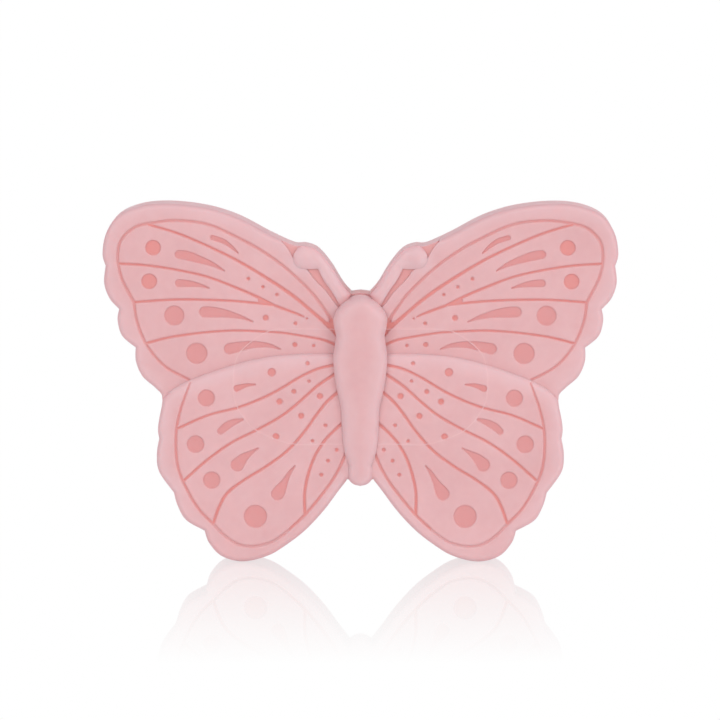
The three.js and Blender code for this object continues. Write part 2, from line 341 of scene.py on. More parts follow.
def backgroundGrid(loop, step):
    low, high = loop.min(axis=0), loop.max(axis=0)
    rows = []
    for k, z in enumerate(np.arange(low[1], high[1], step * math.sqrt(3) / 2)):
        x = np.arange(low[0] + (k % 2) * step / 2, high[0], step)
        rows.append(np.column_stack([x, np.full(len(x), z)]))
    return np.vstack(rows)


def rounded(depth, inset, drop):
    inner = 1 - np.clip(depth / np.maximum(inset, 1e-6), 0, 1)
    return -drop * (1 - np.sqrt(1 - inner**2))


# The strongest of several painted tones, each fading with distance from a loop: used for the painted crease
# shade and the painted sheen.
def fading(spreads, plan, power):
    best = np.zeros(len(plan))
    for loop, width, tone in spreads:
        gap = np.abs(depthInside(loop, plan)[0])
        best = np.maximum(best, tone * (1 - np.clip(gap / width, 0, 1)) ** power)
    return best


def keep(data, name, values):
    data.attributes.new(name, "FLOAT", "POINT").data.foreach_set("value", np.asarray(values, float))


marks = {  # how the painted shade and painted sheen lie on a piece's face and walls
    "outerFace": 0.9,  # a face this near the plate's edge takes the wall's painted shade where it rounds over
    "outerFade": 3,
    "outerWall": 0.2,
    "creaseFade": 1.5,
    "sheenFade": 1.3,
    "sheenRise": (14, 0.1),  # the painted sheen's share is height over the first, plus the second, up to all of it: lighter higher up
    "wallSheen": 0.7,
    "stepTone": 0.12,  # painted shade on a rounded edge that meets another piece
    "stepFade": 4,
    "stepWall": 0.2,
}


# A closed piece over an outline: a flat seat, an upright wall, a rounded edge and a shaped face.
# An outline's columns are x, z, how far the rounded edge runs in and how far it drops.
def reliefObject(name, outline, seat, face, shape, extra=None, grid=mesh["grid"], paintedCreases=(), paintedGlows=()):
    outline = counterClockwise(outline)
    loop = outline[:, :2]
    inset, drop = softened(outline[:, 2], mesh["edgeBlend"]), softened(outline[:, 3], mesh["edgeBlend"])
    inward = sideways(loop)
    rows = [] if extra is None else [extra]
    for k in range(1, mesh["fillet"] + 1):
        reach = inset * (1 - math.cos(k / mesh["fillet"] * math.pi / 2))
        row = loop + inward * reach[:, None]
        kept = depthInside(loop, row)[0] > reach * mesh["keptShare"]
        rows.append(row[kept])
    fixed = np.vstack(rows)
    lattice = backgroundGrid(loop, grid)
    crowd = treeOf(np.vstack([fixed, loop]))
    lattice = lattice[[crowd.find((x, z, 0))[2] > mesh["clear"] for x, z in lattice]]
    inner = np.vstack([fixed, lattice])
    inner = inner[depthInside(loop, inner)[0] > mesh["margin"]]

    count = len(loop)
    ring = [(i, (i + 1) % count) for i in range(count)]
    flat = [Vector(p) for p in np.vstack([loop, inner])]
    points, _, faces, source, _, _ = delaunay_2d_cdt(flat, ring, [], 1, 1e-6)
    plan = np.array([tuple(p) for p in points])
    onLoop = {s: i for i, group in enumerate(source) for s in group if s < count}
    rim = [onLoop[i] for i in range(count)]
    depth, near = depthInside(loop, plan)
    depth[rim] = 0
    depth = np.maximum(depth, 0)
    height = shape(plan, depth, face + rounded(depth, inset[near], drop[near]))

    levels = np.linspace(0, 1, mesh["wallRows"] + 1)[1:]
    verts = [place(x, h, z) for (x, z), h in zip(plan, height)]
    polys = [tuple(f) for f in faces]
    above = rim
    for level in levels:
        start = len(verts)
        for i in rim:
            x, z = plan[i]
            verts.append(place(x, height[i] * (1 - level) + seat * level, z))
        below = list(range(start, start + count))
        polys += [(above[i], below[i], below[j], above[j]) for i, j in ring]
        above = below
    _, _, cap, capSource, _, _ = delaunay_2d_cdt([Vector(p) for p in plan[rim]], ring, [], 1, 1e-6)
    toRim = {i: above[group[0]] for i, group in enumerate(capSource)}
    polys += [tuple(toRim[v] for v in reversed(f)) for f in cap]

    data = bpy.data.meshes.new(name)
    data.from_pydata(verts, [], polys)
    # Painted marks: "edge" is painted sheen, "wall" is painted shade on the walls and where the face rounds
    # over near the plate's edge, "drop" is painted shade in creases and at steps to other pieces.
    tilt = np.clip(1 - depth / np.maximum(inset[near], 1e-6), 0, 1)
    outer = (np.abs(depthInside(plateLoop, plan)[0]) < marks["outerFace"]).astype(float)
    outerRim = (np.abs(depthInside(plateLoop, plan[rim])[0]) < marks["outerWall"]).astype(float)
    outerWall = np.tile(outerRim, len(levels))
    creaseShade = fading(paintedCreases, plan, marks["creaseFade"])
    rise, least = marks["sheenRise"]
    paintedSheen = fading(paintedGlows, plan, marks["sheenFade"]) * (1 - creaseShade) * np.clip(plan[:, 1] / rise + least, 0, 1)
    step = np.maximum(creaseShade, marks["stepTone"] * tilt ** marks["stepFade"] * (1 - outer))
    keep(data, "front", np.concatenate([np.ones(len(plan)), np.zeros(len(outerWall))]))
    keep(data, "edge", np.concatenate([paintedSheen, np.tile(paintedSheen[rim] * marks["wallSheen"], len(levels))]))
    keep(data, "wall", np.concatenate([tilt ** marks["outerFade"] * outer, outerWall]))
    keep(data, "drop", np.concatenate([step, marks["stepWall"] * (1 - outerWall)]))
    data.shade_smooth()
    seam = {tuple(sorted((above[i], above[j]))) for i, j in ring}
    for edge in data.edges:
        edge.use_edge_sharp = tuple(sorted(edge.vertices)) in seam
    data.validate()
    made = bpy.data.objects.new(name, data)
    bpy.context.scene.collection.objects.link(made)
    print(name, "blank:", len(data.vertices), "points")
    return made


def finished(piece, node):
    if not piece.data.materials:
        piece.data.materials.append(siliconeMaterial)
    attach(piece, "root")
    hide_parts(node)
    return piece


# The outer edge of the right half, from the top centre round to the bottom centre.
outerEdge = [
    [(0, 43.9), (0.8, 43.8), (1.5, 43.7)],
    [(1.5, 43.7), (2.9, 45.3), (4.9, 48.5), (7, 50.9), (9, 51.7), (11, 51.8), (15, 53.6), (20, 56.2),
     (25, 57.8), (31, 58.55), (36, 58.2), (39.8, 56.6), (41.8, 53.7), (42.4, 50.4), (41.9, 48.4)],
    [(41.9, 48.4), (42.15, 45.6), (41.3, 43.1), (39.7, 41.3)],
    [(39.7, 41.3), (39.95, 39.4), (39.2, 36.9), (37, 35)],
    [(37, 35), (36.95, 32.7), (35.9, 30.3), (33.9, 28.5), (32.7, 27.2), (32.65, 25.7), (33.1, 23.4),
     (33.3, 21.6), (33.1, 20.2)],
    [(33.1, 20.2), (33.5, 17.6), (33.1, 14.7), (30.7, 11.3)],
    [(30.7, 11.3), (30.1, 9.2), (28.7, 6.8), (25.65, 5.05)],
    [(25.65, 5.05), (24.9, 3), (22.8, 0.85), (19.3, 0), (15.2, 0.95), (12, 2.85), (9, 5.2), (6, 8.4),
     (3.6, 11.6), (1.8, 13.9)],
    [(1.8, 13.9), (0.9, 13.6), (0, 13.5)],
]


# A stretch of the outer edge with its own rounding, cut to the points that a test wants.
def edgeStretch(first, last, inset, drop, wanted):
    runs = joinRuns([(points, inset, drop) for points in outerEdge[first:last]])
    return runs[[wanted(x, z) for x, z in runs[:, :2]]]


# The whole outline, from a right half that starts and ends on the centre line.
def mirrored(half):
    return counterClockwise(np.vstack([half, half[1:-1][::-1] * (-1, 1, 1, 1)]))


def plateOutline():
    half = joinRuns([(points, 0, 0) for points in outerEdge])
    return mirrored(np.vstack([half, [(*outerEdge[-1][-1], 0, 0)]]))[:, :2]


plateLoop = plateOutline()
plate = {
    "backRound": 0.5,
    "backRows": 6,
    "wallLevels": (0.35, 0.7, 1),
    "backGrid": (1.1, 0.5),  # step, and the gap that it leaves beside the edge
    "unevenness": (0.05, 0.11, 3.0),  # height, scale and seed of the back's unevenness
    "webHalfWidth": 13.0,
    "webBottom": 41.5,
    "webOverlap": 0.4,  # the raised web runs this far in under the fore wings
    "webGrid": (0.35, 0.15),
    # painted recess colour on the web's top, in the tone of the grooves
    "webShadeTone": 0.5,
    "recessRise": 0.5,
    "recessRun": 0.4,
    "crownDrop": 1.0,
    "crownReach": (2.6, 42.6),  # half width, and where it starts
    "crownMark": (3.0, 42.5),  # the same for its painted shade
    "crownShadeTones": (0.3, 0.7),  # painted shade behind the head, on the front and on the wall
}


# How high the plate's front is: raised to a web round the antennae, with a lower crown behind the head.
def webHeight(plan, wing):
    fromCentre = np.abs(plan[:, 0])
    halfCrown, crownFoot = plate["crownReach"]
    inWing = depthInside(wing, plan)[0] > plate["webOverlap"]
    high = (plan[:, 1] > plate["webBottom"]) & (fromCentre < plate["webHalfWidth"]) & ~inWing
    recess = plate["recessRise"] * np.clip((fromCentre - halfCrown) / plate["recessRun"], 0, 1)
    crown = (fromCentre < halfCrown) & (plan[:, 1] > crownFoot)
    return np.where(high, layers["web"] + np.where(crown, -plate["crownDrop"], recess), layers["plate"])


# Rings over the rounded back edge and up the wall, then a cap on the back and one on the front.
def makeBackPlate(foreLoop):
    loop = plateLoop
    count = len(loop)
    inward = sideways(loop)
    rings, heights = [], []
    for k in range(plate["backRows"] + 1):
        turn = k / plate["backRows"] * math.pi / 2
        reach = plate["backRound"] * (1 - math.sin(turn))
        rings.append(loop + inward * reach)
        heights.append(np.full(count, plate["backRound"] * (1 - math.cos(turn))))
    bothSides = [webHeight(loop * (s, 1), foreLoop) for s in (1, -1)]
    top = np.where(loop[:, 0] > 0, bothSides[0], bothSides[1])
    for level in plate["wallLevels"]:
        rings.append(loop)
        heights.append(plate["backRound"] * (1 - level) + top * level)
    verts, polys = [], []
    for line, height in zip(rings, heights):
        verts += [place(x, h, z) for (x, z), h in zip(line, height)]
    ring = [(i, (i + 1) % count) for i in range(count)]
    for level in range(len(rings) - 1):
        low, high = level * count, (level + 1) * count
        polys += [(high + i, low + i, low + j, high + j) for i, j in ring]

    def cap(base, line, inner, heightAt, flip):
        flat = [Vector(p) for p in np.vstack([line, inner])]
        points, _, faces, source, _, _ = delaunay_2d_cdt(flat, ring, [], 1, 1e-6)
        vertOf = {}
        for i, group in enumerate(source):
            onRing = [s for s in group if s < count]
            if onRing:
                vertOf[i] = base + onRing[0]
            else:
                vertOf[i] = len(verts)
                x, z = points[i]
                verts.append(place(x, heightAt(x, z), z))
        for f in faces:
            face = tuple(vertOf[v] for v in f)
            polys.append(face[::-1] if flip else face)

    step, gap = plate["backGrid"]
    grid = backgroundGrid(loop, step)
    inner = grid[depthInside(loop, grid)[0] > plate["backRound"] + gap]
    rise, scale, seed = plate["unevenness"]

    def unevenBack(x, z):
        return rise * (0.5 + 0.5 * noise.noise(Vector((x * scale, z * scale, seed))))

    cap(0, rings[0], inner, unevenBack, True)
    step, gap = plate["webGrid"]
    fine = backgroundGrid(loop, step)
    nearWeb = (fine[:, 1] > plate["webBottom"] - 1) & (np.abs(fine[:, 0]) < plate["webHalfWidth"] + 1)
    fine = fine[nearWeb & (depthInside(loop, fine)[0] > gap)]
    heightsOf = {}
    for s, half in ((1, fine[fine[:, 0] > 0]), (-1, fine[fine[:, 0] <= 0])):
        for p, h in zip(half, webHeight(half * (s, 1), foreLoop)):
            heightsOf[(round(p[0], 4), round(p[1], 4))] = h
    topStart = (len(rings) - 1) * count
    cap(topStart, loop, fine, lambda x, z: heightsOf.get((round(x, 4), round(z, 4)), layers["plate"]), False)

    data = bpy.data.meshes.new("backPlate")
    data.from_pydata(verts, [], polys)
    data.shade_smooth()
    halfMark, markFoot = plate["crownMark"]
    spots = np.array(verts)
    across = np.abs(spots[:, 0])
    clearOfBack = spots[:, 1] < backY - 2 * plate["backRound"] * mm
    onTop = clearOfBack & (np.arange(len(verts)) >= topStart + count)
    atCrown = clearOfBack & (across < halfMark * mm) & (spots[:, 2] > markFoot * mm)
    onWall = (spots[:, 1] < backY - 2 * rise * mm) & ~onTop
    # Painted tones: groove colour on the web's top, shade on the crown behind the head, shade on the walls.
    keep(data, "vein", plate["webShadeTone"] * (onTop & (across > plate["crownReach"][0] * mm)))
    keep(data, "drop", atCrown * np.where(onTop, *plate["crownShadeTones"]))
    keep(data, "wall", onWall)
    sharp = {tuple(sorted((topStart + i, topStart + j))) for i, j in ring}
    for edge in data.edges:
        edge.use_edge_sharp = tuple(sorted(edge.vertices)) in sharp
    data.validate()
    made = bpy.data.objects.new("backPlate", data)
    bpy.context.scene.collection.objects.link(made)
    return finished(made, "back_plate")


# Engraving of the fore wings. Veins are narrow, drops and spots are wide with flat floors.
foreWing = {
    "name": "foreWing",
    "node": "fore_wing",
    "seed": 1.5,
    "edge": (0.85, 1.1),
    "innerEdge": (0.22, 0.3),
    "outer": (13, 27),  # its part of the outer edge is beyond this x and above this z
    "under": [(32.65, 27.0), (32.5, 25.9), (32.2, 24.8), (30, 26), (27, 27.6), (23, 29.3), (18, 31), (13, 32),
              (7, 32.4), (2.6, 32.5)],
    "side": [(2.6, 32.5), (2.6, 40.8)],
    "inner": [(2.6, 40.8), (3.88, 42.06), (4.55, 42.88), (5.24, 43.86), (6.1, 44.85), (7.13, 45.83),
              (7.95, 46.81), (8.5, 47.6), (9.6, 48.5), (10.6, 49.3), (11.15, 49.95), (11.45, 50.5),
              (11.8, 51.1), (12.3, 51.8), (13, 52.55)],
    "paintedCreases": [("hind", 0.4, 0.3), ("hind", 3.0, 0.15), ("body", 0.4, 0.25)],  # painted shade in the creases: loop, width, strength
    # painted sheen spreading from these loops: loop, width, strength
    "paintedGlows": [("plate", 3.0, 0.5), ("club", 2.6, 0.45)],
    "veins": [
        [(4.8, 39.7, 0.24), (5.25, 40.45, 0.22), (6, 41.5, 0.2), (8, 44.1, 0.2), (12, 47.9, 0.2),
         (16, 50.8, 0.2), (20, 53, 0.2), (25, 55.2, 0.2), (30, 55.85, 0.2), (34, 55.5, 0.2),
         (37.1, 54.7, 0.2), (39.3, 52.6, 0.2), (39.85, 49.8, 0.2), (39.2, 46.4, 0.2), (37.2, 42.5, 0.22)],
        [(37.2, 42.5, 0.22), (36.85, 39.9, 0.19), (36, 37.3, 0.2), (34.6, 34.7, 0.19), (32, 31.9, 0.18),
         (28.2, 29.8, 0.19)],
        [(4.2, 37.6, 0.2), (5.2, 38.6, 0.3), (7.5, 40.6, 0.25), (11, 43.5, 0.26), (15, 46.2, 0.24),
         (20, 49.2, 0.2), (25, 51.65, 0.18), (30, 53.75, 0.18), (34.8, 55.2, 0.18)],
        [(9.3, 40.1, 0.1), (10.4, 40.6, 0.17), (12, 41.2, 0.19), (14.5, 42.15, 0.21), (17, 43.4, 0.21),
         (20, 44.7, 0.19), (25, 46.6, 0.17), (30, 47.75, 0.17), (35, 48.5, 0.17), (39.6, 48.8, 0.18)],
        [(14, 42, 0.15), (17, 42.35, 0.18), (21, 42.7, 0.17), (26, 42.9, 0.17), (31, 42.9, 0.17),
         (37.1, 42.5, 0.18)],
        [(4, 37.1, 0.15), (4.35, 37.8, 0.35), (4.6, 38.4, 0.4), (4.72, 39, 0.42), (4.78, 39.75, 0.25)],
        [(4.8, 38.6, 0.35), (5.3, 38.85, 0.38), (5.95, 39.2, 0.26)],
        [(3.9, 35.5, 0.24), (6, 36.3, 0.18), (9, 36.9, 0.16), (13, 37.5, 0.15), (17, 37.75, 0.16),
         (21, 37.85, 0.16), (26, 37.5, 0.16), (31, 36.8, 0.17), (35.1, 35.8, 0.2)],
    ],
    # strength of each stroke's painted recess colour
    "tones": [0.58, 0.65],
    "dropTones": [1.3, 1.2, 1.1, 1.1],
    "spotTones": [1.7, 1.6],
    "drops": [
        [(15, 42.35, 0.22), (16.4, 42.8, 0.42)],
        [(24.3, 53.05, 0.38), (22.6, 52.5, 0.38), (21.3, 51.65, 0.28), (20.1, 50.55, 0.1)],
        [(22.4, 47.65, 0.1), (24.2, 48.65, 0.35), (26.5, 49.5, 0.6), (28.5, 50.1, 0.75), (29.8, 50.3, 0.68)],
        [(24.9, 44.8, 0.1), (26.2, 45.2, 0.27), (28, 45.5, 0.52), (29.8, 45.6, 0.62)],
        [(17.7, 39.3, 0.1), (19.5, 40, 0.3), (22, 40.6, 0.62), (24.2, 40.85, 0.86), (25.6, 40.9, 0.88)],
        [(13.2, 34.8, 0.1), (15, 35.4, 0.33), (17.5, 35.55, 0.55), (20, 35.2, 0.8), (21.5, 34.85, 0.92)],
    ],
    "spots": [(34.05, 51.4, 1.25), (34.7, 45.9, 1.25), (30.6, 40.3, 1.62), (26.9, 34.1, 1.72),
              (15.55, 39.95, 0.45), (10.75, 35.55, 0.38), (18.4, 46.35, 0.27), (16, 45, 0.25),
              (13.7, 43.75, 0.25), (10.65, 39.05, 0.27), (7.65, 35.4, 0.24), (8.75, 39.85, 0.14)],
}
hindWing = {
    "name": "hindWing",
    "node": "hind_wing",
    "seed": 6.5,
    "edge": (0.85, 1.1),
    "outer": (2.2, 26.45),  # its part of the outer edge is beyond this x and below this z
    # painted shade beside the body, and painted highlight along the ridge
    "paintedCreases": [("body", 0.4, 0.2), ("body", 1.6, 0.2)],
    "paintedGlows": [("hind", 2.8, 0.65)],
    "ridge": (0.8, 0.85),
    "lean": (3.6, 0.85),  # the face leans back towards the ridge over this width, by this much
    "top": [(1, 34), (6, 34.1), (10, 34.05), (15, 33.6), (20, 32.5), (25, 30.9), (29, 29.3), (31.4, 27.8),
            (32.6, 26.5)],
    "root": [(2.2, 13.5), (1, 15.5), (1, 34)],
    "veins": [
        [(4.1, 32.35, 0.23), (7, 31.7, 0.19), (10, 30.3, 0.19), (13, 28.5, 0.19), (16, 26.95, 0.19),
         (20, 25.4, 0.18), (25, 24.1, 0.17), (30.1, 21.9, 0.18)],
        [(4, 30.95, 0.23), (7, 28.95, 0.21), (10, 26.3, 0.2), (13, 23.95, 0.19), (17, 21.7, 0.18),
         (21, 19.7, 0.18), (25, 16.9, 0.19), (28.9, 13.5, 0.2)],
        [(3.4, 28.1, 0.25), (5.5, 26.3, 0.22), (7.3, 24.05, 0.21), (9.2, 21.4, 0.2), (12, 18.3, 0.2),
         (15.5, 15.7, 0.19), (19, 13.55, 0.19), (21.8, 11.4, 0.22), (23.2, 9.1, 0.22), (24.2, 6.3, 0.2)],
        [(2.7, 23, 0.25), (4.6, 21.3, 0.21), (6.2, 19.5, 0.21), (7.6, 17.1, 0.21), (8.6, 14.25, 0.21),
         (9.15, 11.3, 0.21), (9.1, 7.9, 0.25)],
        [(2.2, 18.2, 0.23), (3.8, 14.75, 0.21), (6, 11.5, 0.21), (9, 7.9, 0.21), (11.7, 5.35, 0.19)],
        [(11.7, 5.35, 0.19), (13.3, 4.1, 0.18), (15, 3.15, 0.18), (17.5, 2.6, 0.18), (20, 2.9, 0.19),
         (22.3, 4.35, 0.2), (24.2, 6.25, 0.22)],
        [(24.2, 6.25, 0.22), (26.5, 8.6, 0.19), (28.4, 11.7, 0.2), (29.8, 14.9, 0.2), (30.3, 18.2, 0.2),
         (30.2, 21.9, 0.2), (29.5, 25.1, 0.17), (28.7, 27.4, 0.16), (28, 29.3, 0.12)],
    ],
    # strength of each stroke's painted recess colour
    "tones": [1, 1, 1, 1, 0.8, 0.32, 0.72],
    "dropTones": [1.4],
    "spotTones": [1, 1, 1, 1, 1.5],
    "drops": [
        [(17.3, 29.15, 0.1), (18.8, 29, 0.3), (20.3, 28.5, 0.52)],
        [(19.4, 23.4, 0.22), (20.8, 22.95, 0.5), (22.1, 22.25, 0.62), (22.95, 21.5, 0.55)],
        [(16.8, 18.7, 0.1), (18, 17.95, 0.35), (19.2, 17.1, 0.75), (20.2, 16, 1.1)],
        [(10.75, 15.8, 0.1), (11.6, 14.7, 0.3), (12.4, 13.25, 0.52), (13.2, 11.85, 0.95), (13.6, 11.2, 1.05)],
    ],
    "spots": [(25.3, 26.9, 1.38), (27.1, 19.35, 1.42), (24.45, 13.45, 1.4), (17.25, 7.5, 1.88),
              (14.55, 31.15, 0.65), (6.6, 27.25, 0.48), (9.7, 24, 0.47), (13.85, 20.6, 0.5),
              (13.25, 26.35, 0.48), (10.9, 28, 0.37), (8.65, 32.6, 0.3), (8.4, 29.7, 0.25),
              (5.7, 22.45, 0.27), (7.85, 19.9, 0.25), (3.85, 18.45, 0.28), (5.3, 16.65, 0.28),
              (6.4, 14.35, 0.28)],
}
witness = {  # the faint raised line across both wings, like one that a mould's insert leaves
    "path": [(3.4, 38.05), (9, 38.1), (14, 38), (16.5, 37), (18.8, 35.3), (20.3, 33.4), (20.9, 30),
             (20.4, 25.8), (17.6, 22), (14, 20.2), (10.7, 19.35), (6, 19.35), (2, 19.4)],
    "radius": 0.07,
    "width": 0.12,
    "height": 0.03,
    # strength of the raised line's painted highlight
    "tint": 0.22,
    "fill": 0.8,  # how much of a groove it fills where it crosses one
    "veinFade": 0.9,
}
engraving = {  # depth, softness of the lips and strength of the painted recess colour
    "Vein": (0.28, 0.15, 1.0),
    "Drop": (0.26, 0.12, 1.0),
    "Spot": (0.28, 0.12, 1.0),
}
pricks = {"largest": 0.6, "length": 0.02}  # smaller spots are cut with the veins, as very short strokes
unevenness = {"height": 0.05, "size": 7.0, "calm": 1.5}  # of the wings' faces, less near their edges


# Lines or dots in the y = 0 plane, with a radius and a shade at each point, for the nodes to measure to.
def makeCutter(name, strokes, side, tones=()):
    verts, edges, radii, shades = [], [], [], []
    for k, stroke in enumerate(strokes):
        line = smoothRun(stroke, mesh["cutterStep"]) if len(stroke) > 1 else np.array(stroke, float)
        start = len(verts)
        verts += [(side * p[0] * mm, 0, p[1] * upright) for p in line]
        radii += [p[2] * mm for p in line]
        shades += [tones[k] if k < len(tones) else 1.0] * len(line)
        edges += [(start + i, start + i + 1) for i in range(len(line) - 1)]
    data = bpy.data.meshes.new(name)
    data.from_pydata(verts, edges, [])
    keep(data, "radius", radii)
    keep(data, "shade", shades)
    made = bpy.data.objects.new(name, data)
    bpy.context.scene.collection.objects.link(made)
    made.hide_render = True
    return made


def makeEngraveTree():
    tree = bpy.data.node_groups.new("engraveRelief", "GeometryNodeTree")
    graph = Graph(tree)
    tree.interface.new_socket("Geometry", in_out="INPUT", socket_type="NodeSocketGeometry")
    tree.interface.new_socket("Geometry", in_out="OUTPUT", socket_type="NodeSocketGeometry")
    for kind in (*engraving, "Witness"):
        tree.interface.new_socket(f"{kind} Shapes", in_out="INPUT", socket_type="NodeSocketObject")

    def addNumber(label, value):
        tree.interface.new_socket(label, in_out="INPUT", socket_type="NodeSocketFloat").default_value = value

    for kind, (depth, lip, tint) in engraving.items():
        addNumber(f"{kind} Depth", depth * mm)
        addNumber(f"{kind} Lip", lip * mm)
        addNumber(f"{kind} Tint", tint)
    addNumber("Witness Width", witness["width"] * mm)
    addNumber("Witness Height", witness["height"] * mm)
    addNumber("Witness Tint", witness["tint"])
    given = graph.node("NodeGroupInput")

    def read(name):
        return Wire(graph, given.outputs[name])

    def named(attribute):
        settings = {"data_type": "FLOAT"}
        return graph.wire("GeometryNodeInputNamedAttribute", "Attribute", settings, {"Name": attribute})

    here = graph.wire("GeometryNodeInputPosition")
    plan = graph.wire("ShaderNodeVectorMath", 0, {"operation": "MULTIPLY"}, {0: here, 1: (1, 0, 1)})

    def gapTo(kind, how):
        shapes = graph.wire("GeometryNodeObjectInfo", "Geometry", None, {"Object": read(f"{kind} Shapes")})
        away = graph.wire("GeometryNodeProximity", "Distance", {"target_element": how},
                          {"Geometry": shapes, "Sample Position": plan})
        nearest = graph.wire("GeometryNodeSampleNearest", "Index", {"domain": "POINT"},
                             {"Geometry": shapes, "Sample Position": plan})
        radius, shade = (graph.wire("GeometryNodeSampleIndex", 0, {"data_type": "FLOAT", "domain": "POINT"},
                                    {"Geometry": shapes, "Value": named(kept), "Index": nearest})
                         for kept in ("radius", "shade"))
        return away - radius, shade

    def softMask(gap, lip):
        return graph.wire("ShaderNodeMapRange", 0, {"interpolation_type": "SMOOTHSTEP"},
                          {"Value": gap, "From Min": lip, "From Max": lip * -1, "To Min": 0.0, "To Max": 1.0})

    front = named("front")
    cut, tints = None, {}
    for kind, how in (("Vein", "EDGES"), ("Drop", "EDGES"), ("Spot", "POINTS")):
        gap, shade = gapTo(kind, how)
        mask = softMask(gap, read(f"{kind} Lip")) * front
        deep, tints[kind] = mask * read(f"{kind} Depth"), mask * shade * read(f"{kind} Tint")
        cut = deep if cut is None else cut.larger(deep)
    bridge = softMask(gapTo("Witness", "EDGES")[0], read("Witness Width")) * front
    cut = cut * (1 - bridge * witness["fill"]) - bridge * read("Witness Height")
    # painted recess shade on drop and spot floors and painted groove glow on veins, both cleared where the
    # raised line bridges a groove
    floors = tints["Drop"].larger(tints["Spot"])
    drop = (floors * (1 - bridge)).larger(named("drop"))
    overFull = floors - 1  # a tone above one turns towards the painted groove glow
    vein = tints["Vein"].larger(overFull) * (1 - bridge * witness["veinFade"])
    shift = graph.wire("ShaderNodeCombineXYZ", 0, None, {"Y": cut})
    moved = graph.wire("GeometryNodeSetPosition", 0, None, {"Geometry": read("Geometry"), "Offset": shift})
    # the points move along y only, so the masks, which measure in x and z, still read the same
    for name, value in (("drop", drop), ("vein", vein), ("trace", bridge * read("Witness Tint"))):
        moved = graph.wire("GeometryNodeStoreNamedAttribute", 0, {"data_type": "FLOAT", "domain": "POINT"},
                           {"Geometry": moved, "Name": name, "Value": value})
    whole = graph.wire("GeometryNodeRealizeInstances", 0, None, {"Geometry": moved})
    finish = graph.wire("GeometryNodeSetMaterial", 0, None, {"Geometry": whole, "Material": siliconeMaterial})
    graph.node("NodeGroupOutput", None, {"Geometry": finish})
    return tree


engraveTree = makeEngraveTree()
socketOf = {item.name: item.identifier for item in engraveTree.interface.items_tree if item.in_out == "INPUT"}


def engrave(piece, wing, side):
    large = [[spot] for spot in wing["spots"] if spot[2] >= pricks["largest"]]
    small = [[(x, z, r), (x + pricks["length"], z, r)] for x, z, r in wing["spots"] if r < pricks["largest"]]
    witnessLine = [(*p, witness["radius"]) for p in witness["path"]]
    cutters = {
        "Vein": makeCutter("veinShapes", wing["veins"] + small, side, wing["tones"]),
        "Drop": makeCutter("dropShapes", wing["drops"], side, wing["dropTones"]),
        "Spot": makeCutter("spotShapes", large, side, wing["spotTones"]),
        "Witness": makeCutter("witnessShapes", [witnessLine], side),
    }
    modifier = piece.modifiers.new("engrave", "NODES")
    modifier.node_group = engraveTree
    for kind, cutter in cutters.items():
        modifier[socketOf[f"{kind} Shapes"]] = cutter
    graph = bpy.context.evaluated_depsgraph_get()
    baked = bpy.data.meshes.new_from_object(piece.evaluated_get(graph), depsgraph=graph)
    piece.modifiers.clear()
    piece.data = baked
    for cutter in cutters.values():
        bpy.data.objects.remove(cutter)
    return piece


def waves(plan, side, size, seed):
    return np.array([noise.noise(Vector((side * x / size, z / size, seed))) for x, z in plan])


# A wing's face is slightly uneven, and a hind wing leans back towards its ridge.
def wingFace(wing, side):
    crest = treeOf(smoothRun(wing["top"], mesh["crestStep"]) * (side, 1)) if "lean" in wing else None

    def shape(plan, depth, height):
        if crest is not None:
            width, fall = wing["lean"]
            away = np.array([crest.find((x, z, 0))[2] for x, z in plan])
            height = height - fall * (1 - np.clip(away / width, 0, 1)) ** 2
        calm = np.clip(depth / unevenness["calm"], 0, 1)
        bumps = waves(plan, side, unevenness["size"], wing["seed"] + side)
        return height + unevenness["height"] * calm * bumps

    return shape


def foreOutline():
    left, low = foreWing["outer"]
    outer = edgeStretch(1, 5, *foreWing["edge"], lambda x, z: x > left and z > low)
    inner = joinRuns([(foreWing[run], *foreWing["innerEdge"]) for run in ("under", "side", "inner")])
    return counterClockwise(np.vstack([outer, inner]))


def hindOutline():
    left, high = hindWing["outer"]
    outer = edgeStretch(4, 8, *hindWing["edge"], lambda x, z: x > left and z < high)
    root = joinRuns([(hindWing["root"], *hindWing["edge"])])
    return counterClockwise(np.vstack([outer, root, joinRuns([(hindWing["top"], *hindWing["ridge"])])]))


# Painted shade and sheen tones that spread from the named loops, mirrored for the left half.
def tonesFrom(spreads, side):
    return [(counterClockwise(loops[name] * (side, 1)), width, tone) for name, width, tone in spreads]


def makeWing(wing, outline, sideName, side):
    name = f"{wing['name']}.{sideName}"
    lips = {kind: lip for kind, (depth, lip, tint) in engraving.items()}
    rows = [strokeRows(wing["veins"], lips["Vein"]), strokeRows(wing["drops"], lips["Drop"]),
            strokeRows([[spot] for spot in wing["spots"]], lips["Spot"]),
            strokeRows([[(*p, 0.0) for p in witness["path"]]], witness["radius"])]
    extra = thinned(np.vstack(rows), mesh["weld"]) * (side, 1)
    piece = reliefObject(name, outline * (side, 1, 1, 1), layers["plate"], layers[wing["name"]],
                         wingFace(wing, side), extra,
                         paintedCreases=tonesFrom(wing["paintedCreases"], side), paintedGlows=tonesFrom(wing["paintedGlows"], side))
    engrave(piece, wing, side)
    print(name, "engraved:", len(piece.data.polygons), "faces")
    return finished(piece, f"{wing['node']}_{sideName}")


